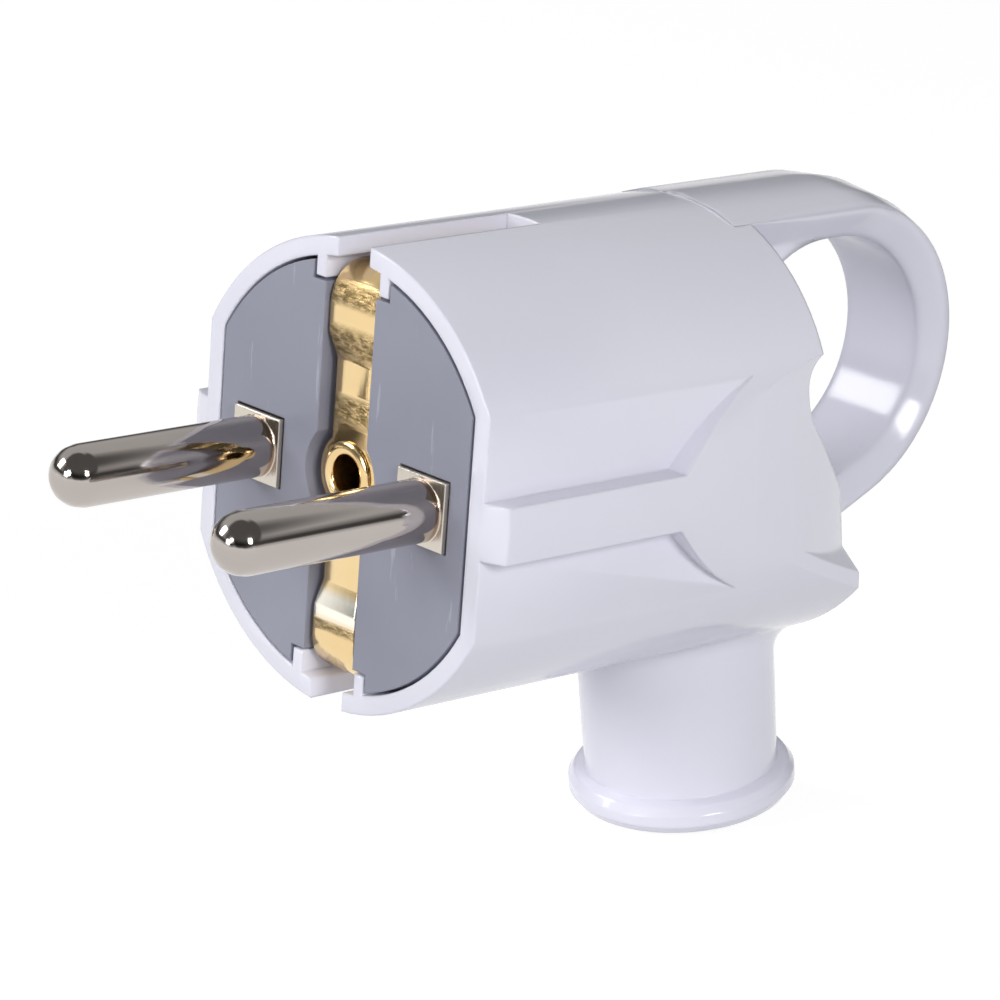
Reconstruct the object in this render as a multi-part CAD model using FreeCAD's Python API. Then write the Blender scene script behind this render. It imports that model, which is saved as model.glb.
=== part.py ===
import FreeCAD
import Part
import math
import os

# Rewirable mains plug with two round pins, an earth strip, a finger ring
# at the back and a cable outlet that points down.
# X is across the plug, the pins point to -Y, and +Z is up, away from the
# cable outlet.  The origin is midway between the pins, on the face of
# their square shoulders.  All sizes are in millimetres.

V = FreeCAD.Vector

# Pins
PIN_SPACING = 19.0
PIN_D = 4.8
PIN_LENGTH = 19.0
DOME_PARTS = 4
SHOULDER = 5.4
BLOCK_LENGTH = 17.0
WIRE_HOLE_D = 3.0
WIRE_HOLE_DEPTH = 8.0
PIN_SCREW_D = 3.0
PIN_SCREW_HEAD_D = 5.0
PIN_SCREW_HEAD_H = 1.3
PIN_SCREW_Y = 13.4
PIN_SCREW_BITE = 1.2

# Housing
RIM_Y = 0.4
BODY_R = 18.1
FLAT_DEPTH = 2.1
FLAT_X = BODY_R - FLAT_DEPTH
RIM_WALL = 1.5
FLAT_WALL = 1.6
ROOM_X = FLAT_X - FLAT_WALL
SHELL_WALL = 2.3
FLOOR_WALL = 2.1
REAR_Y = 34.5
REAR_LEAN = 1.0
REAR_BEND_Z = 4.2
HEEL_Y = REAR_Y + 8.6
HEEL_LEAN = 0.9
HEEL_TOP_Z = -3.6
HEEL_LOW_Z = -8.2
REAR_BEND_R = 5.0
HEEL_TOP_R = 2.5
SLOT_W = 3.6
SLOT_END_Y = 17.2
HOOK_IN_X = 3.05
HOOK_W = 1.05
HOOK_REACH = 2.0
HOOK_TIP_Z = BODY_R - RIM_WALL - HOOK_REACH
HOOK_LENGTH = 6.0

# Side flats with their pointed rear end, and the guide rib on each
RIB_HALF = 2.2
RIB_CHAMFER = 1.0
NOSE_STEP = 0.4
ARCH_START_Y = 18.9
ARCH_MID_Y = 22.6
ARCH_MID_Z = 5.75
ARCH_TIP_Y = 27.4

# Scoop for thumb and finger on each side
SCOOP_R = 46.0
SCOOP_START_Y = 18.3
SCOOP_PROUD = 0.15
SCOOP_AXIS_X = BODY_R + SCOOP_PROUD - SCOOP_R
SCOOP_LIP_R = 3.5
SCOOP_LEAN = 5.0
SCOOP_LEAN_Z = -2.0
CHEEK_SPARE = 1.5
SHELF_Y = REAR_Y - 7.1
SHELF_X = BODY_R - 4.1
SHELF_Z = -1.0
SHELF_FALL_Y = 0.6
SHELF_FALL_X = 0.77
WING_CUT = 0.85
LIP_Z = 7.6
LIP_RISE_Y = 0.17
LIP_RISE_X = 0.79

# Finger ring
RING_R = 13.75
RING_PROUD = 0.2
RING_Y = REAR_Y + 12.75
RING_Z = BODY_R + RING_PROUD - RING_R
GAP_R = 10.0
GAP_Y = RING_Y + 0.75
GAP_Z = RING_Z - 0.45
GAP_CORNER_R = 9.0
GAP_WEB = 3.0
GAP_HALF = 3.9
GAP_FLARE = 1.2
GAP_OVERRUN = 3.0
CROWN_PARTS = 4
ARM_ANGLE = -65.0
ARM_LENGTH = 10.8
RING_BLANK_HALF = 8.0

# Cable outlet
OUTLET_Y = HEEL_Y - 5.6
OUTLET_Z = -BODY_R - 3.0
OUTLET_TILT = 10.0
OUTLET_ROOT_R = 8.05
OUTLET_R = 7.8
OUTLET_BORE_R = 5.0
OUTLET_UP = 9.0
BEAD_DOWN = 9.65
BEAD_R = 1.36
BEAD_CENTRE_R = 7.9
BEAD_PARTS = 5
ROOT_FILLET = 2.0
MOUTH_FLARE = 0.36

# Pin carrier
CARRIER_GAP = 0.25
CARRIER_PLATE = 9.0
CARRIER_REAR_Y = 18.6
CHANNEL_HALF = 2.85
CHANNEL_FLOOR_Y = 3.2
EYE_POCKET_R = 4.0
NOTCH_GAP = 0.25
WINDOW_GAP = 0.4
SLEEVE_Z = 5.0
SLEEVE_IN_X = 5.5
TERMINAL_ROOM = 9.0
BLOCK_GAP = 0.1
EYE_SEAT_R = 2.9
WEB = 3.0

# Earth strip
STRIP_T = 0.8
STRIP_WIDE = 5.3
STRIP_LOW_WIDE = 4.8
STRIP_NECK = 4.1
STRIP_EYE_R = 3.2
STRIP_FRONT_Y = 0.7
STRIP_DROP = 0.6
STRIP_TOP_Z = BODY_R - RIM_WALL - STRIP_DROP
STRIP_END_Y = 16.6
STRIP_NECK_Y = 1.2
STEP_OUT_Z = STRIP_TOP_Z - 5.3
STEP_IN_Z = STEP_OUT_Z - 2.0
STRIP_ROOM = 0.1
STRIP_NOSE_R = 2.6
STRIP_BEND_R = 0.8

# Hollow rivet
RIVET_HOLE_R = 1.6
RIVET_R = 1.95
RIVET_LIP_R = 2.6
RIVET_LIP_H = 0.4
RIVET_GAP = 0.06

# Earth terminal
TERMINAL_T = 0.8
TERMINAL_W = 6.4
TERMINAL_TOP_Z = 3.6
TERMINAL_LOW_Z = -12.2
LEG_X = -2.6
LEG_LENGTH = 8.0
LEG_TOP_Z = -6.4
EARTH_SCREW_D = 3.0
EARTH_SCREW_HEAD_D = 5.2
EARTH_SCREW_HEAD_H = 1.8
EARTH_SCREW_LENGTH = 4.4
EARTH_WASHER = 5.4
EARTH_WASHER_T = 0.8

# Cord grip on the shelf at the back of the carrier
SHELF_TOP_Z = -10.0
SHELF_T = 2.9
SHELF_HALF = 8.4
SHELF_FRONT_Y = 16.2
SHELF_REAR_Y = 25.2
SHELF_ARM = 2.6
GRIP_Y = 22.0
GRIP_SPAN = 11.0
GRIP_W = 5.4
GRIP_T = 2.4
GRIP_CORD_R = 3.0
GRIP_ARCH_T = 1.2
GRIP_ARCH_UP = 0.6
GRIP_SCREW_D = 2.6
GRIP_SCREW_HEAD_D = 4.0
GRIP_SCREW_HEAD_H = 1.7
GRIP_SCREW_LENGTH = 5.0

FIT = 0.08
DRIVE_W = 0.8
DRIVE_H = 0.9

BIG = 120.0
SIDES = (-1, 1)


def block(x0, x1, y0, y1, z0, z1):
    return Part.makeBox(x1 - x0, y1 - y0, z1 - z0, V(x0, y0, z0))


def rod(radius, start, direction, length):
    return Part.makeCylinder(radius, length, start, direction)


def fuse(shapes):
    first = shapes[0]
    for other in shapes[1:]:
        first = first.fuse(other)
    return first.removeSplitter()


def arc_points(radius, start, end, parts):
    # Points on an arc about the origin, as (across, along) pairs; angles in degrees.
    turns = [math.radians(start + (end - start) * i / parts) for i in range(parts + 1)]
    return [(radius * math.cos(t), radius * math.sin(t)) for t in turns]


def lathe(points, centre, axis):
    # Revolve (radius, distance along the axis) pairs about a line through centre.
    side = V(1, 0, 0)
    corners = [centre + side * r + axis * d for r, d in points]
    face = Part.Face(Part.makePolygon(corners + [corners[0]]))
    return face.revolve(centre, axis, 360)


def yz_face(points, x):
    corners = [V(x, y, z) for y, z in points]
    return Part.Face(Part.makePolygon(corners + [corners[0]]))


def yz_prism(points, x0, x1):
    return yz_face(points, x0).extrude(V(x1 - x0, 0, 0))


def grow(points, distance):
    # Mitred offset of a closed outline whose points run anticlockwise.
    lines = []
    count = len(points)
    for i in range(count):
        ay, az = points[i]
        by, bz = points[(i + 1) % count]
        length = math.hypot(by - ay, bz - az)
        ny = (bz - az) / length
        nz = -(by - ay) / length
        lines.append((ny, nz, ny * ay + nz * az + distance))
    out = []
    for i in range(count):
        a1, b1, c1 = lines[i - 1]
        a2, b2, c2 = lines[i]
        det = a1 * b2 - a2 * b1
        out.append(((c1 * b2 - c2 * b1) / det, (a1 * c2 - a2 * c1) / det))
    return out


def rounded_path(points, radii):
    # Straight runs joined by tangent arcs; radii has one value per inner point.
    edges = []
    start = points[0]
    for i, radius in enumerate(radii):
        corner = points[i + 1]
        back = (points[i] - corner).normalize()
        ahead = (points[i + 2] - corner).normalize()
        half = back.getAngle(ahead) / 2
        reach = radius / math.tan(half)
        enter = corner + back * reach
        leave = corner + ahead * reach
        middle = (back + ahead).normalize()
        crown = corner + middle * (radius / math.sin(half) - radius)
        edges.append(Part.LineSegment(start, enter).toShape())
        edges.append(Part.Arc(enter, crown, leave).toShape())
        start = leave
    edges.append(Part.LineSegment(start, points[-1]).toShape())
    return Part.Wire(edges)


def half_space(point, normal):
    # A large block that lies on the side of the plane that normal points to.
    slab = Part.makeBox(BIG, BIG, BIG, V(-BIG / 2, -BIG / 2, 0))
    slab.Placement = FreeCAD.Placement(point, FreeCAD.Rotation(V(0, 0, 1), normal))
    return slab


def barrel_section(radius, flat, y0, y1):
    # Round bar along Y with a flat on each side.
    bar = rod(radius, V(0, y0, 0), V(0, 1, 0), y1 - y0)
    return bar.common(block(-flat, flat, y0, y1, -radius, radius))


def slotted_head(radius, height, start, direction):
    # Cheese head with a straight slot in its outer face.
    head = rod(radius, start, direction, height)
    slot = block(-BIG / 2, BIG / 2, -DRIVE_W / 2, DRIVE_W / 2, 0, DRIVE_H)
    top = start + direction * (height - DRIVE_H)
    slot.Placement = FreeCAD.Placement(top, FreeCAD.Rotation(V(0, 0, 1), direction))
    return head.cut(slot)


def side_profile():
    # Outline of the body seen from the side, anticlockwise in Y and Z.
    low = -BODY_R - 1
    high = BODY_R + 1
    slope = REAR_LEAN / (BODY_R - REAR_BEND_Z)
    return [
        (RIM_Y, low),
        (HEEL_Y, low),
        (HEEL_Y, HEEL_LOW_Z),
        (HEEL_Y - HEEL_LEAN, HEEL_TOP_Z),
        (REAR_Y, REAR_BEND_Z),
        (REAR_Y + REAR_LEAN + slope, high),
        (RIM_Y, high),
    ]


def edges_near(shape, tests):
    # Straight edges along X whose middle lies close to one of the given (y, z).
    found = []
    for edge in shape.Edges:
        box = edge.BoundBox
        if box.YLength > 0.01 or box.ZLength > 0.01:
            continue
        for y, z in tests:
            if abs(box.Center.y - y) < 0.2 and abs(box.Center.z - z) < 0.2:
                found.append(edge)
    return found


def body_blank():
    profile = yz_prism(side_profile(), -BODY_R - 1, BODY_R + 1)
    profile = profile.makeFillet(REAR_BEND_R, edges_near(profile, [(REAR_Y, REAR_BEND_Z)]))
    profile = profile.makeFillet(HEEL_TOP_R, edges_near(profile, [(HEEL_Y - HEEL_LEAN, HEEL_TOP_Z)]))
    return profile.common(rod(BODY_R, V(0, RIM_Y, 0), V(0, 1, 0), BIG))


def flat_cutter(side):
    # Two areas beside the rib, each with a pointed rear end.
    edge_z = math.sqrt(BODY_R ** 2 - FLAT_X ** 2) + 0.1
    shapes = []
    for up in SIDES:
        a = V(FLAT_X, RIM_Y - 1, up * RIB_HALF)
        b = V(FLAT_X, ARCH_START_Y, up * RIB_HALF)
        m = V(FLAT_X, ARCH_MID_Y, up * ARCH_MID_Z)
        c = V(FLAT_X, ARCH_TIP_Y, up * edge_z)
        d = V(FLAT_X, RIM_Y - 1, up * edge_z)
        outline = Part.Wire([
            Part.LineSegment(a, b).toShape(),
            Part.Arc(b, m, c).toShape(),
            Part.LineSegment(c, d).toShape(),
            Part.LineSegment(d, a).toShape(),
        ])
        shapes.append(Part.Face(outline).extrude(V(BODY_R, 0, 0)))
    nose = Part.Face(Part.makePolygon([
        V(FLAT_X, RIM_Y - 1, -BODY_R),
        V(FLAT_X + NOSE_STEP, RIM_Y, -BODY_R),
        V(BODY_R + NOSE_STEP, RIM_Y + RIB_CHAMFER, -BODY_R),
        V(BODY_R + 2, RIM_Y - 1, -BODY_R),
        V(FLAT_X, RIM_Y - 1, -BODY_R),
    ])).extrude(V(0, 0, 2 * BODY_R))
    shapes.append(nose)
    cutter = fuse(shapes)
    if side < 0:
        cutter = cutter.mirror(V(0, 0, 0), V(1, 0, 0))
    return cutter


def scoop_barrel(radius):
    # Upright barrel that leans inwards towards the top.
    barrel = rod(radius, V(SCOOP_AXIS_X, SCOOP_START_Y, -BIG / 2), V(0, 0, 1), BIG)
    barrel.rotate(V(SCOOP_AXIS_X, SCOOP_START_Y, SCOOP_LEAN_Z), V(0, 1, 0), -SCOOP_LEAN)
    return barrel


def scoop_cutter(side):
    # The recess floor is a large barrel; the shelf below and the lip above are planes.
    floor = block(BODY_R / 4, BODY_R + 2, SCOOP_START_Y, HEEL_Y + 4, -BODY_R, BODY_R)
    floor = floor.cut(scoop_barrel(SCOOP_R))
    rise = V(LIP_RISE_X, LIP_RISE_Y, -1)
    shelf = half_space(V(SHELF_X, SHELF_Y, SHELF_Z), V(SHELF_FALL_X, SHELF_FALL_Y, 1))
    lip = half_space(V(SHELF_X, REAR_Y, LIP_Z), rise)
    cutter = floor.common(shelf).common(lip)
    round_face = [f for f in cutter.Faces if f.Surface.TypeId == "Part::GeomCylinder"][0]
    crease = []
    for face in cutter.Faces:
        if face.Surface.TypeId == "Part::GeomPlane" and face.normalAt(0, 0).cross(rise).Length < 0.01:
            crease += [e for e in face.Edges if any(e.isSame(o) for o in round_face.Edges)]
    cutter = cutter.makeFillet(SCOOP_LIP_R, crease)
    if side < 0:
        cutter = cutter.mirror(V(0, 0, 0), V(1, 0, 0))
    return cutter


def ring_section():
    # Radial section of the ring blank: its outer face has the crown of the body.
    half = RING_BLANK_HALF
    spread = math.degrees(math.asin(half / BODY_R))
    top = RING_Z + RING_R - BODY_R
    crown = arc_points(BODY_R, 90 + spread, 90 - spread, CROWN_PARTS)
    corners = [V(half, RING_Y, RING_Z), V(-half, RING_Y, RING_Z)]
    corners += [V(x, RING_Y, top + z) for x, z in crown]
    return Part.Face(Part.makePolygon(corners + [corners[0]]))


def ring_gap():
    # Finger gap: a round hole with a straight run into it, flared to both sides.
    outer = GAP_R + GAP_FLARE * (RING_BLANK_HALF - GAP_HALF)
    reach = RING_BLANK_HALF - GAP_HALF
    centre = V(-GAP_HALF, GAP_Y, GAP_Z)
    shapes = [rod(GAP_R, centre, V(1, 0, 0), 2 * GAP_HALF)]
    shapes.append(Part.makeCone(GAP_R, outer, reach, V(GAP_HALF, GAP_Y, GAP_Z), V(1, 0, 0)))
    shapes.append(Part.makeCone(GAP_R, outer, reach, V(-GAP_HALF, GAP_Y, GAP_Z), V(-1, 0, 0)))
    turn = math.radians(ARM_ANGLE)
    tangent = (GAP_Y + GAP_R * math.cos(turn), GAP_Z + GAP_R * math.sin(turn))
    run = tangent[0] - REAR_Y + GAP_OVERRUN
    fall = -run / math.tan(turn)
    outline = [
        (REAR_Y - GAP_OVERRUN, tangent[1] - fall),
        tangent,
        (GAP_Y, GAP_Z + GAP_R),
        (REAR_Y - GAP_OVERRUN, GAP_Z + GAP_R),
    ]
    wide = grow(outline, outer - GAP_R)
    shapes.append(yz_prism(outline, -GAP_HALF, GAP_HALF))
    for side in SIDES:
        near = yz_face(outline, side * GAP_HALF).OuterWire
        far = yz_face(wide, side * RING_BLANK_HALF).OuterWire
        shapes.append(Part.makeLoft([near, far], True, True))
    return shapes


def handle():
    section = ring_section()
    axis_point = V(0, RING_Y, RING_Z)
    hoop = section.copy()
    hoop = hoop.revolve(axis_point, V(1, 0, 0), -(90 - ARM_ANGLE))
    top = section.extrude(V(0, REAR_Y - RING_Y - 1, 0))
    low = section.copy()
    low.rotate(axis_point, V(1, 0, 0), -(90 - ARM_ANGLE))
    turn = math.radians(ARM_ANGLE)
    arm = low.extrude(V(0, math.sin(turn), -math.cos(turn)) * ARM_LENGTH)
    blank = fuse([hoop, top, arm])
    for cutter in ring_gap():
        blank = blank.cut(cutter)
    keep = block(-BIG, BIG, REAR_Y - 1, BIG, -BIG, BIG)
    blank = blank.common(keep)
    solids = sorted(blank.Solids, key=lambda s: s.Volume)
    return solids[-1].fuse(gap_corner()).removeSplitter()


def gap_corner():
    # Web that rounds the front of the finger gap, from its top down to the heel.
    top = GAP_Z + GAP_R
    centre_y = REAR_Y + GAP_WEB + GAP_CORNER_R
    centre_z = top - GAP_CORNER_R
    web = block(-GAP_HALF, GAP_HALF, REAR_Y - 1, centre_y, centre_z, top + 1)
    web = web.cut(rod(GAP_CORNER_R, V(-BODY_R, centre_y, centre_z), V(1, 0, 0), BIG))
    foot = block(-GAP_HALF, GAP_HALF, REAR_Y - 1, REAR_Y + GAP_WEB, HEEL_TOP_Z, centre_z)
    return web.fuse(foot)


def outlet_axis():
    tilt = math.radians(OUTLET_TILT)
    return V(0, math.sin(tilt), -math.cos(tilt))


def outlet_point(down):
    return V(0, OUTLET_Y, OUTLET_Z) + outlet_axis() * down


def outlet_tube():
    down = outlet_axis()
    tube = Part.makeCone(OUTLET_ROOT_R, OUTLET_R, OUTLET_UP + BEAD_DOWN, outlet_point(-OUTLET_UP), down)
    outline = [(0, BEAD_DOWN - BEAD_R)]
    outline += [(BEAD_CENTRE_R + r, BEAD_DOWN + d) for r, d in arc_points(BEAD_R, -90, 90, BEAD_PARTS)]
    outline += [(0, BEAD_DOWN + BEAD_R)]
    return fuse([tube, lathe(outline, outlet_point(0), down)])


def outlet_bore():
    down = outlet_axis()
    bore = rod(OUTLET_BORE_R, outlet_point(-OUTLET_UP - BEAD_R), down, BIG)
    start = outlet_point(BEAD_DOWN + BEAD_R - MOUTH_FLARE)
    wide = OUTLET_BORE_R + 2 * MOUTH_FLARE
    mouth = Part.makeCone(OUTLET_BORE_R, wide, 2 * MOUTH_FLARE, start, down)
    return bore.fuse(mouth)


def cavity():
    # Room for the carrier at the front and for the wires behind it.
    inner_r = BODY_R - RIM_WALL
    seat_y = RIM_Y + CARRIER_PLATE
    front = barrel_section(inner_r, ROOM_X, RIM_Y - 1, seat_y)
    inner = grow(side_profile(), -FLOOR_WALL)
    rear = yz_prism(inner, -BODY_R, BODY_R)
    rear = rear.common(barrel_section(BODY_R - SHELL_WALL, FLAT_X - SHELL_WALL + 0.2, seat_y - 0.5, HEEL_Y))
    deep = SCOOP_AXIS_X + math.sqrt(SCOOP_R ** 2 - (HEEL_Y - SCOOP_START_Y) ** 2)
    narrow = deep - SHELL_WALL - CHEEK_SPARE
    wide = FLAT_X - SHELL_WALL
    plan = [
        V(-wide, RIM_Y, -BODY_R),
        V(wide, RIM_Y, -BODY_R),
        V(wide, SCOOP_START_Y, -BODY_R),
        V(narrow, HEEL_Y, -BODY_R),
        V(-narrow, HEEL_Y, -BODY_R),
        V(-wide, SCOOP_START_Y, -BODY_R),
    ]
    rear = rear.common(Part.Face(Part.makePolygon(plan + [plan[0]])).extrude(V(0, 0, 2 * BODY_R)))
    slot_top = BODY_R + 1
    slots = block(-SLOT_W / 2, SLOT_W / 2, RIM_Y - 1, SLOT_END_Y, -slot_top, slot_top)
    strip_z = STRIP_TOP_Z + STRIP_ROOM
    strip_room = block(-CHANNEL_HALF, CHANNEL_HALF, RIM_Y - 1, SLOT_END_Y, -strip_z, strip_z)
    room_z = SLEEVE_Z + CARRIER_GAP
    sleeve_room = block(-ROOM_X, ROOM_X, RIM_Y - 1, CARRIER_REAR_Y + CARRIER_GAP, -room_z, room_z)
    return fuse([front, rear, slots, strip_room, sleeve_room])


def scoop_edges(body, across, along, up):
    # Edges between one plane of each scoop and the round of the body.
    found = []
    for face in body.Faces:
        if face.Surface.TypeId != "Part::GeomPlane":
            continue
        for side in SIDES:
            if face.normalAt(0, 0).cross(V(side * across, along, up)).Length > 0.01:
                continue
            for other in body.Faces:
                surface = other.Surface
                if surface.TypeId == "Part::GeomCylinder" and abs(surface.Radius - BODY_R) < 0.01:
                    found += [e for e in face.Edges if any(e.isSame(o) for o in other.Edges)]
    return found


def housing_blank():
    body = body_blank()
    for side in SIDES:
        body = body.cut(flat_cutter(side))
        body = body.cut(scoop_cutter(side))
    body = body.makeChamfer(WING_CUT, scoop_edges(body, SHELF_FALL_X, SHELF_FALL_Y, 1))
    body = body.fuse(outlet_tube()).removeSplitter().Solids[0]
    roots = []
    for edge in body.Edges:
        box = edge.BoundBox
        curved = edge.Curve.TypeId == "Part::GeomBSplineCurve"
        if curved and box.YLength > OUTLET_R and box.ZMax < -BODY_R / 2:
            roots.append(edge)
    body = body.makeFillet(ROOT_FILLET, roots)
    body = body.fuse(handle())
    return body.removeSplitter()


def hooks():
    # Teeth beside each slot that hold the carrier.
    shapes = []
    root = BODY_R - RIM_WALL / 2
    for side in SIDES:
        for up in SIDES:
            x0 = side * HOOK_IN_X
            x1 = side * (HOOK_IN_X + HOOK_W)
            z0 = up * HOOK_TIP_Z
            z1 = up * root
            low = min(z0, z1)
            high = max(z0, z1)
            shapes.append(block(min(x0, x1), max(x0, x1), RIM_Y, RIM_Y + HOOK_LENGTH, low, high))
    return shapes


def housing():
    shell = housing_blank().cut(cavity())
    return fuse([shell] + hooks()).cut(outlet_bore())


def pin(side):
    x = side * PIN_SPACING / 2
    tip_r = PIN_D / 2
    dome = PIN_LENGTH - tip_r
    outline = [(0, 0), (tip_r, 0)]
    outline += [(max(r, 0), dome + d) for r, d in arc_points(tip_r, 0, 90, DOME_PARTS)]
    shank = lathe(outline, V(x, 0, 0), V(0, -1, 0))
    half = SHOULDER / 2
    body = block(x - half, x + half, 0, BLOCK_LENGTH, -half, half)
    shape = fuse([body, shank])
    shape = shape.cut(rod(WIRE_HOLE_D / 2, V(x, BLOCK_LENGTH, 0), V(0, -1, 0), WIRE_HOLE_DEPTH))
    hole = rod(PIN_SCREW_D / 2 + FIT, V(x, PIN_SCREW_Y, 0), V(side, 0, 0), half + 1)
    return shape.cut(hole)


def pin_screw(side):
    seat = side * (PIN_SPACING / 2 + SHOULDER / 2)
    out = V(side, 0, 0)
    head = slotted_head(PIN_SCREW_HEAD_D / 2, PIN_SCREW_HEAD_H, V(seat, PIN_SCREW_Y, 0), out)
    length = SHOULDER / 2 - WIRE_HOLE_D / 2 + PIN_SCREW_BITE
    shank = rod(PIN_SCREW_D / 2, V(seat, PIN_SCREW_Y, 0), out * -1, length)
    return head.fuse(shank).removeSplitter()


def pin_carrier():
    inner_r = BODY_R - RIM_WALL - CARRIER_GAP
    flat = ROOM_X - CARRIER_GAP
    plate_end = RIM_Y + CARRIER_PLATE
    shape = barrel_section(inner_r, flat, RIM_Y, plate_end)
    half = SHOULDER / 2 + BLOCK_GAP
    for side in SIDES:
        x_in = side * SLEEVE_IN_X
        x_out = side * flat
        sleeve = block(min(x_in, x_out), max(x_in, x_out), RIM_Y, CARRIER_REAR_Y, -SLEEVE_Z, SLEEVE_Z)
        shape = shape.fuse(sleeve)
    shape = shape.fuse(grip_shelf()).removeSplitter()
    channel = block(-CHANNEL_HALF, CHANNEL_HALF, RIM_Y - 1, CHANNEL_FLOOR_Y, -BODY_R, BODY_R)
    shape = shape.cut(channel)
    shape = shape.cut(rod(EYE_POCKET_R, V(0, RIM_Y - 1, 0), V(0, 1, 0), CHANNEL_FLOOR_Y - RIM_Y + 1))
    seat_y = STRIP_NECK_Y + STRIP_T
    shape = shape.fuse(rod(EYE_SEAT_R, V(0, seat_y, 0), V(0, 1, 0), CHANNEL_FLOOR_Y - seat_y + 0.5))
    for up in SIDES:
        notch_x = HOOK_IN_X + HOOK_W + NOTCH_GAP
        notch_z = HOOK_TIP_Z - NOTCH_GAP
        z0 = min(up * notch_z, up * BODY_R)
        z1 = max(up * notch_z, up * BODY_R)
        shape = shape.cut(block(-notch_x, notch_x, RIM_Y - 1, RIM_Y + HOOK_LENGTH + NOTCH_GAP, z0, z1))
        groove_z = STRIP_TOP_Z - STRIP_T - FIT
        z0 = min(up * groove_z, up * BODY_R)
        z1 = max(up * groove_z, up * BODY_R)
        shape = shape.cut(block(-CHANNEL_HALF, CHANNEL_HALF, RIM_Y - 1, BIG, z0, z1))
    for side in SIDES:
        x = side * PIN_SPACING / 2
        shape = shape.cut(block(x - half, x + half, RIM_Y - 1, BIG, -half, half))
        x_in = side * (PIN_SPACING / 2)
        window_r = PIN_SCREW_HEAD_D / 2 + WINDOW_GAP
        window = rod(window_r, V(x_in, PIN_SCREW_Y, 0), V(side, 0, 0), BIG)
        shape = shape.cut(window)
    web_rear = CHANNEL_FLOOR_Y + WEB
    room_low = -TERMINAL_TOP_Z - TERMINAL_ROOM
    room = block(-SLEEVE_IN_X, SLEEVE_IN_X, web_rear, SHELF_FRONT_Y, room_low, TERMINAL_TOP_Z + 1)
    shape = shape.cut(room)
    for x, y in grip_screw_points():
        shape = shape.cut(rod(GRIP_SCREW_D / 2 + FIT, V(x, y, SHELF_TOP_Z), V(0, 0, -1), BIG))
    hole = rod(RIVET_R + RIVET_GAP, V(0, 0, 0), V(0, 1, 0), BIG)
    return shape.cut(hole)


def grip_shelf():
    # Two arms and a plate behind the terminals, where the cord is clamped.
    low = SHELF_TOP_Z - SHELF_T
    shapes = [block(-SHELF_HALF, SHELF_HALF, SHELF_FRONT_Y, SHELF_REAR_Y, low, SHELF_TOP_Z)]
    for side in SIDES:
        x_in = side * (SHELF_HALF - SHELF_ARM)
        x_out = side * SHELF_HALF
        shapes.append(block(min(x_in, x_out), max(x_in, x_out), RIM_Y + 1, SHELF_REAR_Y, low, SHELF_TOP_Z))
    return fuse(shapes)


def grip_screw_points():
    return [(side * GRIP_SPAN / 2, GRIP_Y) for side in SIDES]


def strip_outline():
    # Front view of the earth strip: wide ends, narrow neck, round eye.
    half = STRIP_WIDE / 2
    low = STRIP_LOW_WIDE / 2
    neck = STRIP_NECK / 2
    z0 = STEP_IN_Z
    z1 = STEP_OUT_Z
    end = STRIP_TOP_Z + 1
    points = [(low, -end), (low, -z1), (neck, -z0), (neck, z0), (half, z1), (half, end)]
    points += [(-x, z) for x, z in reversed(points)]
    corners = [V(x, -1, z) for x, z in points]
    face = Part.Face(Part.makePolygon(corners + [corners[0]]))
    front = face.extrude(V(0, BIG, 0))
    eye = rod(STRIP_EYE_R, V(0, -1, 0), V(0, 1, 0), BIG)
    return front.fuse(eye)


def earth_strip():
    mid = STRIP_T / 2
    top = STRIP_TOP_Z - mid
    face_y = STRIP_FRONT_Y + mid
    neck_y = STRIP_NECK_Y + mid
    upper = [
        (neck_y, STEP_IN_Z),
        (face_y, STEP_OUT_Z),
        (face_y, top),
        (STRIP_END_Y, top),
    ]
    bends = [STRIP_BEND_R] * 2 + [STRIP_NOSE_R]
    points = [V(0, y, -z) for y, z in reversed(upper)] + [V(0, y, z) for y, z in upper]
    radii = bends[::-1] + bends
    path = rounded_path(points, radii)
    wide = STRIP_EYE_R
    start = points[0]
    corners = [
        start + V(-wide, 0, -mid),
        start + V(wide, 0, -mid),
        start + V(wide, 0, mid),
        start + V(-wide, 0, mid),
    ]
    section = Part.makePolygon(corners + [corners[0]])
    band = path.makePipeShell([section], True, False)
    band = band.common(strip_outline())
    return band.cut(rod(RIVET_R + RIVET_GAP, V(0, -1, 0), V(0, 1, 0), BIG))


def earth_rivet():
    # Hollow rivet with a rolled lip at each end.
    front = STRIP_NECK_Y
    back = CHANNEL_FLOOR_Y + WEB + TERMINAL_T
    lip = RIVET_LIP_H
    r0 = RIVET_HOLE_R
    r1 = RIVET_R
    r2 = RIVET_LIP_R
    r3 = (r0 + r2) / 2
    outline = [
        (r0, front - lip / 2),
        (r0, back + lip),
        (r2, back + lip),
        (r2, back),
        (r1, back),
        (r1, front),
        (r2, front),
        (r2, front - lip / 2),
        (r3, front - lip),
    ]
    return lathe(outline, V(0, 0, 0), V(0, 1, 0))


def earth_screw_point():
    y = CHANNEL_FLOOR_Y + WEB + TERMINAL_T * 1.5 + LEG_LENGTH / 2
    return y, (LEG_TOP_Z + TERMINAL_LOW_Z) / 2


def earth_terminal():
    front = CHANNEL_FLOOR_Y + WEB
    half = TERMINAL_W / 2
    plate = block(-half, half, front, front + TERMINAL_T, TERMINAL_LOW_Z, TERMINAL_TOP_Z)
    leg = block(LEG_X, LEG_X + TERMINAL_T, front, front + TERMINAL_T + LEG_LENGTH, TERMINAL_LOW_Z, LEG_TOP_Z)
    shape = fuse([plate, leg])
    shape = shape.cut(rod(RIVET_R + RIVET_GAP, V(0, 0, 0), V(0, 1, 0), BIG))
    y, z = earth_screw_point()
    return shape.cut(rod(EARTH_SCREW_D / 2 + FIT, V(-BIG / 2, y, z), V(1, 0, 0), BIG))


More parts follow.
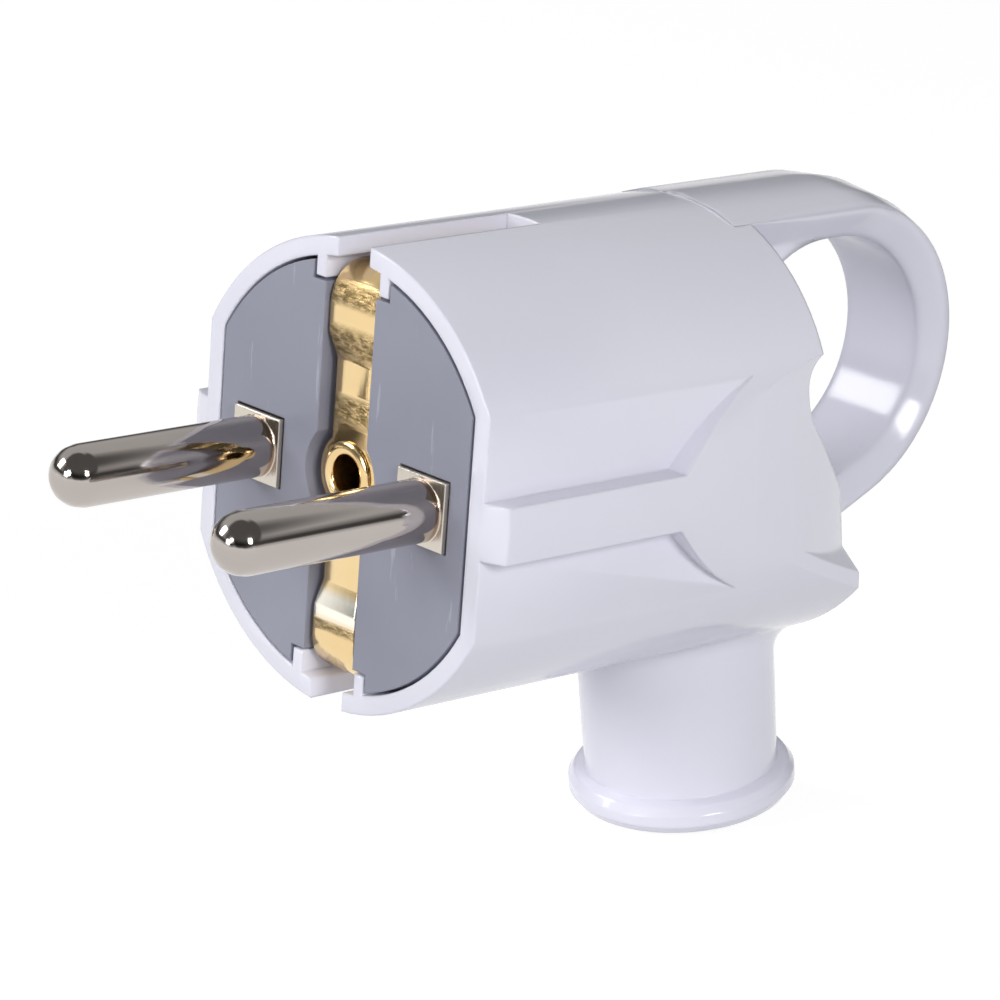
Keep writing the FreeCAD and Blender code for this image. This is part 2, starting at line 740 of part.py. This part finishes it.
def earth_washer():
    y, z = earth_screw_point()
    half = EARTH_WASHER / 2
    x0 = LEG_X + TERMINAL_T
    shape = block(x0, x0 + EARTH_WASHER_T, y - half, y + half, z - half, z + half)
    return shape.cut(rod(EARTH_SCREW_D / 2 + FIT, V(-BIG / 2, y, z), V(1, 0, 0), BIG))


def earth_screw():
    y, z = earth_screw_point()
    seat = LEG_X + TERMINAL_T + EARTH_WASHER_T
    head = slotted_head(EARTH_SCREW_HEAD_D / 2, EARTH_SCREW_HEAD_H, V(seat, y, z), V(1, 0, 0))
    shank = rod(EARTH_SCREW_D / 2, V(seat, y, z), V(-1, 0, 0), EARTH_SCREW_LENGTH)
    return head.fuse(shank).removeSplitter()


def cord_grip():
    length = GRIP_SPAN + GRIP_W
    half = GRIP_W / 2
    low = SHELF_TOP_Z
    top = low + GRIP_T
    middle = block(-GRIP_SPAN / 2, GRIP_SPAN / 2, GRIP_Y - half, GRIP_Y + half, low, top)
    ends = [rod(half, V(x, y, low), V(0, 0, 1), GRIP_T) for x, y in grip_screw_points()]
    centre_z = top + GRIP_ARCH_UP - GRIP_CORD_R
    arch = rod(GRIP_CORD_R + GRIP_ARCH_T, V(0, GRIP_Y - half, centre_z), V(0, 1, 0), GRIP_W)
    arch = arch.common(block(-length, length, GRIP_Y - half, GRIP_Y + half, low, BIG))
    bar = fuse([middle, arch] + ends)
    bar = bar.cut(rod(GRIP_CORD_R, V(0, GRIP_Y - BIG / 2, centre_z), V(0, 1, 0), BIG))
    for x, y in grip_screw_points():
        bar = bar.cut(rod(GRIP_SCREW_D / 2 + FIT, V(x, y, low), V(0, 0, 1), BIG))
    return bar


def grip_screw(side):
    x = side * GRIP_SPAN / 2
    seat = V(x, GRIP_Y, SHELF_TOP_Z + GRIP_T)
    head = slotted_head(GRIP_SCREW_HEAD_D / 2, GRIP_SCREW_HEAD_H, seat, V(0, 0, 1))
    shank = rod(GRIP_SCREW_D / 2, seat, V(0, 0, -1), GRIP_SCREW_LENGTH)
    return head.fuse(shank).removeSplitter()


def build():
    return {
        "housing": housing(),
        "pin_carrier": pin_carrier(),
        "contact_pin_left": pin(-1),
        "contact_pin_right": pin(1),
        "pin_screw_left": pin_screw(-1),
        "pin_screw_right": pin_screw(1),
        "earth_strip": earth_strip(),
        "earth_rivet": earth_rivet(),
        "earth_terminal": earth_terminal(),
        "earth_washer": earth_washer(),
        "earth_screw": earth_screw(),
        "cord_grip": cord_grip(),
        "grip_screw_left": grip_screw(-1),
        "grip_screw_right": grip_screw(1),
    }


os.makedirs("parts", exist_ok=True)
for name, shape in build().items():
    solids = shape.Solids
    if len(solids) == 1:
        shape = solids[0]
    shape.exportStep("parts/" + name + ".step")
    print(name, len(solids), "solids", round(shape.Volume, 1), shape.isValid())
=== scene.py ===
import math

import bpy
import bmesh
from mathutils import Matrix, Vector


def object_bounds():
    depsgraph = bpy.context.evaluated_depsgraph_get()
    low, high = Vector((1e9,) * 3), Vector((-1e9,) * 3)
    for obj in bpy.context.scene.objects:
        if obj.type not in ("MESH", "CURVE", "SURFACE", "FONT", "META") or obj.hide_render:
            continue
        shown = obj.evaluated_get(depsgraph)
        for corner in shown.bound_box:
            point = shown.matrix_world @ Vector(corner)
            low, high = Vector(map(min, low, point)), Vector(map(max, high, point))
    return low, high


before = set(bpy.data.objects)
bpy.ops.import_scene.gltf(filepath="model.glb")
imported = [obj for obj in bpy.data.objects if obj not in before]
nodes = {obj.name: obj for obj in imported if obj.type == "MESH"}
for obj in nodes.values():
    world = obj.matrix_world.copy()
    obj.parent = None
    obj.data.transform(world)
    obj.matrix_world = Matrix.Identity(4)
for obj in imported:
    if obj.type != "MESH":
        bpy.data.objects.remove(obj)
cad_lo, cad_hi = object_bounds()

MM = 0.001


def lin(r, g, b):
    # Turns sRGB levels of 0 to 255 into a linear colour.
    out = []
    for v in (r, g, b):
        v = v / 255
        out.append(v / 12.92 if v <= 0.04045 else ((v + 0.055) / 1.055) ** 2.4)
    return (*out, 1.0)


# The camera fitted to the photograph: degrees, mm, and pixels of its frame.
PHOTO_SIDE = 1000
CAMERA_AZIMUTH, CAMERA_ELEVATION, CAMERA_ROLL = 46.989, 16.507, 4.161
CAMERA_DISTANCE = 380.938
CAMERA_FOCAL = 5109.0
# The point of the object that the fit aims at, and the pixel that shows it.
AIM_POINT = (0, 0.4, 0)
AIM_COLUMN, AIM_ROW = 339.504, 476.635
SENSOR_WIDTH = 36.0
CLIP_NEAR, CLIP_FAR = 0.01, 20


def make_camera():
    angles = (CAMERA_AZIMUTH, CAMERA_ELEVATION, CAMERA_ROLL)
    az, el, roll = (math.radians(v) for v in angles)
    back = Vector((math.sin(az) * math.cos(el), -math.cos(az) * math.cos(el), math.sin(el)))
    forward = -back
    right = forward.cross(Vector((0, 0, 1))).normalized()
    up = right.cross(forward)
    c, s = math.cos(roll), math.sin(roll)
    right, up = c * right + s * up, c * up - s * right
    across = (AIM_COLUMN - PHOTO_SIDE / 2) / CAMERA_FOCAL * CAMERA_DISTANCE
    above = -(AIM_ROW - PHOTO_SIDE / 2) / CAMERA_FOCAL * CAMERA_DISTANCE
    place = (-across * right - above * up - CAMERA_DISTANCE * forward) + Vector(AIM_POINT)
    data = bpy.data.cameras.new("camera")
    data.sensor_width = SENSOR_WIDTH
    data.lens = CAMERA_FOCAL / PHOTO_SIDE * SENSOR_WIDTH
    data.clip_start, data.clip_end = CLIP_NEAR, CLIP_FAR
    camera = bpy.data.objects.new("camera", data)
    turn = Matrix((right, up, back)).transposed().to_4x4()
    camera.matrix_world = Matrix.Translation(place * MM) @ turn
    bpy.context.scene.collection.objects.link(camera)
    bpy.context.scene.camera = camera


make_camera()


# Helpers for node trees

# The Mix node's two value inputs and its output, for colours and for numbers.
MIX_SOCKETS = {"RGBA": (6, 7, 2), "FLOAT": (2, 3, 0)}
# Most of a noise texture's values lie between these two.
NOISE_SPAN = (0.3, 0.7)
EDGE_SAMPLES = 8


def make_node(tree, kind, **values):
    node = tree.nodes.new(kind)
    for key, value in values.items():
        setattr(node, key, value)
    return node


def feed(tree, socket, value):
    # Sets a socket to a number or a colour, or links another socket to it.
    if isinstance(value, (int, float, tuple)):
        socket.default_value = value
    else:
        tree.links.new(value, socket)


def calc(tree, operation, *values, clamp=False):
    node = make_node(tree, "ShaderNodeMath", operation=operation, use_clamp=clamp)
    for socket, value in zip(node.inputs, values):
        feed(tree, socket, value)
    return node.outputs[0]


class Net:
    # The node tree of a material or of the world, with one texture coordinate.
    def __init__(self, owner, output="ShaderNodeOutputMaterial", coordinate="Object"):
        owner.use_nodes = True
        self.owner = owner
        self.tree = owner.node_tree
        self.tree.nodes.clear()
        self.out = self.add(output)
        self.coord = self.add("ShaderNodeTexCoord").outputs[coordinate]

    def add(self, kind, **values):
        return make_node(self.tree, kind, **values)

    def link(self, a, b):
        self.tree.links.new(a, b)

    def calc(self, operation, *values, clamp=False):
        return calc(self.tree, operation, *values, clamp=clamp)

    def total(self, *terms):
        # The sum of the values, each times its weight.
        parts = [self.calc("MULTIPLY", value, weight) for value, weight in terms]
        result = parts[0]
        for part in parts[1:]:
            result = self.calc("ADD", result, part)
        return result

    def noise(self, scale, detail, rough=0.5, stretch=None, turn=0.0):
        node = self.add("ShaderNodeTexNoise")
        node.inputs["Scale"].default_value = scale
        node.inputs["Detail"].default_value = detail
        node.inputs["Roughness"].default_value = rough
        source = self.coord
        if stretch:
            mapping = self.add("ShaderNodeMapping")
            mapping.inputs["Scale"].default_value = stretch
            mapping.inputs["Rotation"].default_value = (0, turn, 0)
            self.link(source, mapping.inputs["Vector"])
            source = mapping.outputs["Vector"]
        self.link(source, node.inputs["Vector"])
        return node.outputs["Fac"]

    def spread(self, at_low=0.0, at_high=1.0, **texture):
        # Noise whose usual span is spread between two values.
        return self.remap(self.noise(**texture), *NOISE_SPAN, at_low, at_high)

    def specks(self, scale, size):
        # 1 at the middle of each cell, falling to 0 at the given distance.
        node = self.add("ShaderNodeTexVoronoi")
        node.inputs["Scale"].default_value = scale
        self.link(self.coord, node.inputs["Vector"])
        return self.remap(node.outputs["Distance"], 0.0, size, 1, 0)

    def remap(self, value, low, high, at_low=0.0, at_high=1.0):
        node = self.add("ShaderNodeMapRange")
        limits = {"From Min": low, "From Max": high, "To Min": at_low, "To Max": at_high}
        for key, number in limits.items():
            node.inputs[key].default_value = number
        self.link(value, node.inputs["Value"])
        return node.outputs["Result"]

    def band(self, value, middle, half):
        # 1 within a band about the middle, falling to 0 at its edges.
        away = self.calc("ABSOLUTE", self.calc("SUBTRACT", value, middle))
        return self.remap(away, half * 0.5, half, 1, 0)

    def mix(self, kind, factor, a, b):
        # The Mix node has its own inputs and output for each kind of value.
        first, second, result = MIX_SOCKETS[kind]
        node = self.add("ShaderNodeMix", data_type=kind)
        for index, value in ((0, factor), (first, a), (second, b)):
            feed(self.tree, node.inputs[index], value)
        return node.outputs[result]

    def mix_colors(self, mask, a, b, strength=None):
        if strength is not None:
            mask = self.calc("MULTIPLY", mask, strength)
        return self.mix("RGBA", mask, a, b)

    def mix_numbers(self, mask, a, b):
        return self.mix("FLOAT", mask, a, b)

    def axis(self, name):
        node = self.add("ShaderNodeSeparateXYZ")
        self.link(self.coord, node.inputs[0])
        return node.outputs[name]

    def bump(self, height, distance, strength, edge):
        # Fine relief, over edges whose shading is softened by a radius.
        soft = self.add("ShaderNodeBevel", samples=EDGE_SAMPLES)
        feed(self.tree, soft.inputs["Radius"], edge)
        node = self.add("ShaderNodeBump")
        node.inputs["Strength"].default_value = strength
        node.inputs["Distance"].default_value = distance
        self.link(height, node.inputs["Height"])
        self.link(soft.outputs["Normal"], node.inputs["Normal"])
        return node.outputs["Normal"]

    def principled(self, color, rough, normal, **values):
        node = self.add("ShaderNodeBsdfPrincipled")
        self.link(color, node.inputs["Base Color"])
        self.link(rough, node.inputs["Roughness"])
        self.link(normal, node.inputs["Normal"])
        for key, value in values.items():
            node.inputs[key].default_value = value
        self.link(node.outputs[0], self.out.inputs["Surface"])


# Materials

SHELL_DARK, SHELL_LIGHT = lin(228, 228, 241), lin(232, 232, 244)
SHELL_DUST = lin(150, 138, 120)
INSERT_DARK, INSERT_LIGHT = lin(140, 142, 158), lin(150, 151, 166)
INSERT_SCRATCH, INSERT_SPECK = lin(196, 197, 208), lin(96, 96, 106)
BRASS_DARK, BRASS_LIGHT = lin(232, 201, 145), lin(242, 216, 168)
# Brass darkened by a painted dark reflection in the bends, and brass lightened by a painted
# bright reflection on the lower slanted step.
BRASS_PAINTED_DARK_REFLECTION, BRASS_PAINTED_GLEAM = lin(92, 72, 22), lin(255, 250, 236)
NICKEL_DARK, NICKEL_LIGHT = lin(178, 171, 166), lin(187, 179, 173)
NICKEL_FACE, NICKEL_ROOT = lin(222, 214, 200), lin(150, 106, 66)
STEEL_DARK, STEEL_LIGHT = lin(188, 190, 194), lin(206, 207, 210)
PAPER_DARK, PAPER_LIGHT = lin(222, 222, 223), lin(227, 227, 228)
PAPER_SEEN_DARK, PAPER_SEEN_LIGHT = lin(148, 148, 148), lin(152, 152, 152)

PLASTIC_IOR = 1.5

# The radius of softened shading at each kind of edge, in metres.
SHELL_EDGE, RING_EDGE, STRAP_EDGE = 0.0003, 0.0014, 0.0007
INSERT_EDGE, BRASS_EDGE, METAL_EDGE = 0.0002, 0.00018, 0.00015

# The ring's softer edges set in between these values of Y and of Z.
RING_Y, RING_Z = (0.036, 0.043), (-0.010, -0.006)
# The low step on top, where the ring's strap starts: Y with its reach, and Z.
STRAP_Y, STRAP_REACH, STRAP_Z = 0.0335, 0.0012, (0.0153, 0.0163)

# Heights of the strip's bends and their half widths, where a painted dark
# reflection darkens the grainy brass, and those of the lower slanted step,
# which has a painted bright reflection.
STRIP_BENDS = [(0.0138, 0.0011), (0.0101, 0.0015), (0.0049, 0.0013), (-0.0120, 0.0005)]
STRIP_PAINTED_GLEAM = (-0.0104, 0.0014)

# The pins' paler shoulders set in between these values of Y.  Their faces show
# slanting file marks and are rougher than the shank.
SHOULDER_Y = (-0.00012, 0.0)
FILE_MARK_TURN = math.radians(50)
FILE_MARK_HEIGHT = 2.0
SHOULDER_ROUGHER = 0.16
# The brown band at the root of the shank: its middle in Y and half its width.
ROOT_BAND = (-0.00028, 0.00024)


def housing_plastic(name):
    net = Net(bpy.data.materials.new(name))
    clouds = net.remap(net.noise(scale=35, detail=4), low=0.35, high=0.65)
    base = net.mix_colors(clouds, SHELL_DARK, SHELL_LIGHT)
    sparse = net.remap(net.noise(scale=60, detail=2), low=0.66, high=0.72)
    dust = net.calc("MULTIPLY", net.specks(scale=420, size=0.055), sparse, clamp=True)
    base = net.mix_colors(dust, base, SHELL_DUST, strength=0.5)
    rough = net.spread(scale=160, detail=3, at_low=0.08, at_high=0.13)
    skin = net.noise(scale=900, detail=2)
    scuffs = net.noise(scale=140, detail=6, rough=0.6, stretch=(9, 0.5, 1.5))
    height = net.total((skin, 0.6), (scuffs, 0.25))
    y, z = net.axis("Y"), net.axis("Z")
    ring = net.calc("MULTIPLY", net.remap(y, *RING_Y), net.remap(z, *RING_Z))
    strap = net.calc("MULTIPLY", net.band(y, STRAP_Y, STRAP_REACH), net.remap(z, *STRAP_Z))
    edge = net.mix_numbers(ring, SHELL_EDGE, RING_EDGE)
    edge = net.mix_numbers(strap, edge, STRAP_EDGE)
    normal = net.bump(height, distance=0.00003, strength=0.5, edge=edge)
    net.principled(base, rough, normal, IOR=PLASTIC_IOR)
    return net.owner


def carrier_plastic(name):
    net = Net(bpy.data.materials.new(name))
    base = net.mix_colors(net.spread(scale=55, detail=4), INSERT_DARK, INSERT_LIGHT)
    scratches = net.noise(scale=70, detail=5, rough=0.6, stretch=(12, 1, 1.2))
    lines = net.remap(scratches, low=0.65, high=0.69, at_high=0.4)
    base = net.mix_colors(lines, base, INSERT_SCRATCH)
    rare = net.remap(net.noise(scale=90, detail=2), low=0.62, high=0.7, at_high=0.6)
    specks = net.calc("MULTIPLY", net.specks(scale=700, size=0.05), rare, clamp=True)
    base = net.mix_colors(specks, base, INSERT_SPECK)
    rough = net.spread(scale=120, detail=4, at_low=0.36, at_high=0.5)
    height = net.total((net.noise(scale=1600, detail=2), 0.5), (scratches, 0.4))
    normal = net.bump(height, distance=0.00003, strength=0.5, edge=INSERT_EDGE)
    net.principled(base, rough, normal, IOR=PLASTIC_IOR)
    return net.owner


def brass(name, bends=(), gleam_band=None):
    net = Net(bpy.data.materials.new(name))
    base = net.mix_colors(net.spread(scale=90, detail=4), BRASS_DARK, BRASS_LIGHT)
    fine = net.noise(scale=1500, detail=3, stretch=(1, 1, 0.12))
    height = net.total((fine, 0.12))
    if bends:
        z = net.axis("Z")
        bent = 0.0
        for middle, half in bends:
            bent = net.calc("MAXIMUM", bent, net.band(z, middle, half))
        grain = net.noise(scale=3400, detail=6, rough=0.75, stretch=(0.35, 1, 1))
        height = net.calc("ADD", height, net.calc("MULTIPLY", grain, bent))
        # The bends' darker colour is a painted dark reflection, mottled by the grain; the
        # grain's relief is real.
        dark_reflection_grain = net.remap(grain, low=0.42, high=0.6, at_low=0.85, at_high=0.3)
        base = net.mix_colors(net.calc("MULTIPLY", dark_reflection_grain, bent), base, BRASS_PAINTED_DARK_REFLECTION)
        # A painted bright reflection on the lower slanted step.
        base = net.mix_colors(net.band(z, *gleam_band), base, BRASS_PAINTED_GLEAM)
    rough = net.spread(scale=200, detail=3, at_low=0.12, at_high=0.2)
    normal = net.bump(height, distance=0.00012, strength=0.8, edge=BRASS_EDGE)
    net.principled(base, rough, normal, Metallic=1.0)
    return net.owner


def nickel(name):
    net = Net(bpy.data.materials.new(name))
    base = net.mix_colors(net.spread(scale=70, detail=3), NICKEL_DARK, NICKEL_LIGHT)
    y = net.axis("Y")
    shoulder = net.remap(y, *SHOULDER_Y)
    base = net.mix_colors(shoulder, base, NICKEL_FACE, strength=0.7)
    base = net.mix_colors(net.band(y, *ROOT_BAND), base, NICKEL_ROOT, strength=0.6)
    drawn = net.noise(scale=900, detail=4, rough=0.6, stretch=(1, 0.05, 1))
    few = net.remap(net.noise(scale=240, detail=2), low=0.55, high=0.65)
    pits = net.calc("MULTIPLY", net.specks(scale=900, size=0.09), few, clamp=True)
    along = (1.0, 0.1, 0.08)
    marks = net.noise(scale=1500, detail=4, rough=0.7, stretch=along, turn=FILE_MARK_TURN)
    filed = net.calc("MULTIPLY", shoulder, FILE_MARK_HEIGHT)
    height = net.total((drawn, 0.05), (pits, -0.5), (marks, filed))
    rough = net.spread(scale=150, detail=3, at_low=0.06, at_high=0.13)
    rough = net.calc("ADD", rough, net.calc("MULTIPLY", shoulder, SHOULDER_ROUGHER))
    normal = net.bump(height, distance=0.00006, strength=0.7, edge=METAL_EDGE)
    net.principled(base, rough, normal, Metallic=1.0)
    return net.owner


def plated_steel(name):
    net = Net(bpy.data.materials.new(name))
    base = net.mix_colors(net.spread(scale=120, detail=4), STEEL_DARK, STEEL_LIGHT)
    turned = net.noise(scale=600, detail=4, rough=0.6, stretch=(0.2, 1, 1))
    rough = net.remap(turned, *NOISE_SPAN, at_low=0.22, at_high=0.4)
    normal = net.bump(turned, distance=0.00004, strength=0.5, edge=METAL_EDGE)
    net.principled(base, rough, normal, Metallic=1.0)
    return net.owner


MATERIALS = {
    "housing": housing_plastic("housing_plastic"),
    "pin_carrier": carrier_plastic("carrier_plastic"),
    "contact_pin_left": nickel("pin_nickel"),
    "contact_pin_right": nickel("pin_nickel_right"),
    "earth_strip": brass("strip_brass", STRIP_BENDS, STRIP_PAINTED_GLEAM),
    "earth_rivet": brass("rivet_brass"),
    "earth_terminal": brass("terminal_brass"),
    "cord_grip": housing_plastic("grip_plastic"),
}
steel = plated_steel("screw_steel")
for name, node in nodes.items():
    for slot in node.material_slots:
        slot.material = MATERIALS.get(name, steel)


# Rounded edges on the frame's meshes

# Corners nearer than this, in metres, are one, and facets that meet at less
# than this angle, in degrees, become one face.
JOIN_DISTANCE = 2e-6
FLAT_ANGLE = 0.3


def geometry_tree(name):
    tree = bpy.data.node_groups.new(name, "GeometryNodeTree")
    for kind in ("INPUT", "OUTPUT"):
        tree.interface.new_socket("Mesh", in_out=kind, socket_type="NodeSocketGeometry")
    return tree, make_node(tree, "NodeGroupInput"), make_node(tree, "NodeGroupOutput")


def edge_tree(name, sharp_angle, zones):
    # Joins the facets' corners and marks the sharp edges.  A zone sets the
    # share of the width inside its box, and there is none outside all boxes.
    tree, start, end = geometry_tree(name)
    join = make_node(tree, "GeometryNodeMergeByDistance")
    join.inputs["Distance"].default_value = JOIN_DISTANCE
    angle = make_node(tree, "GeometryNodeInputMeshEdgeAngle")
    sharp = calc(tree, "GREATER_THAN", angle.outputs["Unsigned Angle"], sharp_angle)
    position = make_node(tree, "GeometryNodeInputPosition")
    place = make_node(tree, "ShaderNodeSeparateXYZ")
    feed(tree, place.inputs[0], position.outputs[0])
    x, y, z = place.outputs
    place = (calc(tree, "ABSOLUTE", x), y, z)
    weight = 0.0 if zones else 1.0
    for box, share in zones:
        inside = 1
        for value, (low, high) in zip(place, box):
            above = calc(tree, "GREATER_THAN", value, low * MM)
            inside = calc(tree, "MULTIPLY", inside, above)
            below = calc(tree, "LESS_THAN", value, high * MM)
            inside = calc(tree, "MULTIPLY", inside, below)
        change = calc(tree, "MULTIPLY", inside, calc(tree, "SUBTRACT", share, weight))
        weight = calc(tree, "ADD", weight, change)
    weight = calc(tree, "MULTIPLY", sharp, weight)
    store = make_node(tree, "GeometryNodeStoreNamedAttribute", data_type="FLOAT", domain="EDGE")
    store.inputs["Name"].default_value = "bevel_weight_edge"
    feed(tree, join.inputs["Geometry"], start.outputs[0])
    feed(tree, store.inputs["Geometry"], join.outputs[0])
    feed(tree, store.inputs["Value"], weight)
    feed(tree, end.inputs[0], store.outputs[0])
    return tree


def smooth_tree(name, sharp_angle):
    # Smooth shading everywhere, split only at edges that are still sharp.
    tree, start, end = geometry_tree(name)
    angle = make_node(tree, "GeometryNodeInputMeshEdgeAngle")
    smooth = calc(tree, "LESS_THAN", angle.outputs["Unsigned Angle"], sharp_angle)
    faces = make_node(tree, "GeometryNodeSetShadeSmooth", domain="FACE")
    edges = make_node(tree, "GeometryNodeSetShadeSmooth", domain="EDGE")
    feed(tree, faces.inputs["Geometry"], start.outputs[0])
    feed(tree, edges.inputs["Geometry"], faces.outputs[0])
    feed(tree, edges.inputs["Shade Smooth"], smooth)
    feed(tree, end.inputs[0], edges.outputs[0])
    return tree


def soften(obj, width, segments, sharp_angle, zones):
    mark = obj.modifiers.new("mark", "NODES")
    mark.node_group = edge_tree(obj.name + "_mark", sharp_angle, zones)
    flat = obj.modifiers.new("flat", "DECIMATE")
    flat.decimate_type = "DISSOLVE"
    flat.angle_limit = math.radians(FLAT_ANGLE)
    flat.delimit = {"SHARP"}
    round_off = obj.modifiers.new("round", "BEVEL")
    round_off.limit_method = "WEIGHT"
    round_off.width = width
    round_off.segments = segments
    round_off.use_clamp_overlap = False
    smooth = obj.modifiers.new("smooth", "NODES")
    smooth.node_group = smooth_tree(obj.name + "_smooth", sharp_angle)


# Shares of the width of the rounding: boxes in |x|, y and z, in mm, later
# ones over earlier ones.  The housing and the carrier are rounded in front.
WIDE_X, WIDE_Z = (0, 30), (-40, 30)
ZONES = {
    "housing": [((WIDE_X, (-1, 1.6), WIDE_Z), 1.0)],
    "pin_carrier": [((WIDE_X, (-1, 0.35), WIDE_Z), 1.0)],
}
# The shank and its dome are rounded most, the circle at its root is not.
PIN_Z = (-5, 5)
PIN_ZONES = [
    ((WIDE_X, (-40, -0.1), PIN_Z), 1.0),
    ((WIDE_X, (-0.1, 8), PIN_Z), 0.4),
    (((6.9, 12.1), (-0.1, 0.1), (-2.6, 2.6)), 0.0),
]
# Each node's width in mm, its segments, and the angle in degrees from which
# an edge is sharp.
ROUND_OTHERS = (0.08, 2, 32)
ROUND = {
    "housing": (0.12, 3, 32),
    "pin_carrier": (0.1, 2, 32),
    "earth_strip": (0.12, 2, 32),
    "contact_pin_left": (0.25, 2, 15),
    "contact_pin_right": (0.25, 2, 15),
}
for name, node in nodes.items():
    width, segments, sharp = ROUND.get(name, ROUND_OTHERS)
    zones = PIN_ZONES if name.startswith("contact_pin") else ZONES.get(name, ())
    soften(node, width * MM, segments, math.radians(sharp), zones)


# Floor, world and lamps

FLOOR_HALF = 6.0
FLOOR_GAP = 0.00005
FLOOR_GLOW = 0.86

# The sky's level at the horizon and straight up, as surfaces receive it.
AMBIENT, ZENITH = 0.69, 0.04
# What mirrors see by height: a white horizon, then a darker room, and a bright
# ceiling, which is dim around one direction.
HORIZON = (0.05, 0.13, 1.0, 0.1)
CEILING = (0.26, 0.5, 0.0, 0.72)
DIM_DIRECTION = (0.45, -0.42, 0.79)
DIM_PATCH = (0.5, 0.62, 1.0, 0.2)

LAMP_DISTANCE = 0.9
LAMP_AIM = (0, 0.02, -0.005)
# Each lamp's direction, its side in metres, and the level it lights a white
# surface facing it to.
LAMPS = {
    "lamp_left": ((-0.624, -0.607, 0.478), 0.32, 0.33),
    "lamp_front": ((0.003, -0.959, 0.252), 0.25, 0.28),
    "lamp_right": ((0.885, -0.238, 0.402), 0.25, 0.45),
}


def make_floor():
    mesh = bpy.data.meshes.new("floor")
    made = bmesh.new()
    bmesh.ops.create_grid(made, x_segments=1, y_segments=1, size=FLOOR_HALF)
    made.to_mesh(mesh)
    made.free()
    floor = bpy.data.objects.new("floor", mesh)
    floor.location = (0, 0, cad_lo.z - FLOOR_GAP)
    bpy.context.scene.collection.objects.link(floor)
    net = Net(bpy.data.materials.new("floor_paper"))
    tooth = net.spread(scale=900, detail=3)
    paper = net.add("ShaderNodeBsdfDiffuse")
    net.link(net.mix_colors(tooth, PAPER_DARK, PAPER_LIGHT), paper.inputs["Color"])
    # Cameras and mirrors see a dim paper that glows, so it looks white there.
    dim = net.add("ShaderNodeBsdfDiffuse")
    net.link(net.mix_colors(tooth, PAPER_SEEN_DARK, PAPER_SEEN_LIGHT), dim.inputs["Color"])
    glow = net.add("ShaderNodeEmission")
    glow.inputs["Strength"].default_value = FLOOR_GLOW
    both = net.add("ShaderNodeAddShader")
    net.link(dim.outputs[0], both.inputs[0])
    net.link(glow.outputs[0], both.inputs[1])
    path = net.add("ShaderNodeLightPath")
    seen = net.calc("MAXIMUM", path.outputs["Is Camera Ray"], path.outputs["Is Glossy Ray"])
    seen = net.calc("MAXIMUM", seen, path.outputs["Is Transmission Ray"])
    blend = net.add("ShaderNodeMixShader")
    net.link(seen, blend.inputs[0])
    net.link(paper.outputs[0], blend.inputs[1])
    net.link(both.outputs[0], blend.inputs[2])
    net.link(blend.outputs[0], net.out.inputs["Surface"])
    mesh.materials.append(net.owner)


def make_world():
    # White to the camera; mirrors see a white horizon under a darker room.
    world = bpy.data.worlds.new("studio")
    bpy.context.scene.world = world
    net = Net(world, "ShaderNodeOutputWorld", "Generated")
    height = net.axis("Z")
    sky = net.calc("ADD", net.remap(height, *HORIZON), net.remap(height, *CEILING))
    toward = net.add("ShaderNodeVectorMath", operation="DOT_PRODUCT")
    toward.inputs[1].default_value = DIM_DIRECTION
    net.link(net.coord, toward.inputs[0])
    mirrored = net.calc("MULTIPLY", sky, net.remap(toward.outputs["Value"], *DIM_PATCH))
    soft = net.remap(height, 0.0, 1.0, AMBIENT, ZENITH)
    path = net.add("ShaderNodeLightPath")
    level = net.mix_numbers(path.outputs["Is Glossy Ray"], soft, mirrored)
    rays = (path.outputs["Is Camera Ray"], path.outputs["Is Transmission Ray"])
    white = net.calc("MAXIMUM", *rays)
    shade = net.add("ShaderNodeBackground")
    net.link(net.mix_numbers(white, level, 1.0), shade.inputs["Strength"])
    net.link(shade.outputs[0], net.out.inputs["Surface"])


def softbox(name, direction, side, level):
    data = bpy.data.lights.new(name, "AREA")
    data.shape = "SQUARE"
    data.size = side
    data.energy = level * (math.pi * LAMP_DISTANCE) ** 2
    lamp = bpy.data.objects.new(name, data)
    aim = Vector(LAMP_AIM)
    lamp.location = aim + Vector(direction).normalized() * LAMP_DISTANCE
    lamp.rotation_mode = "QUATERNION"
    lamp.rotation_quaternion = (aim - lamp.location).to_track_quat("-Z", "Y")
    bpy.context.scene.collection.objects.link(lamp)


make_floor()
make_world()
for name, (direction, side, level) in LAMPS.items():
    softbox(name, direction, side, level)

bpy.context.scene.view_settings.view_transform = "Standard"
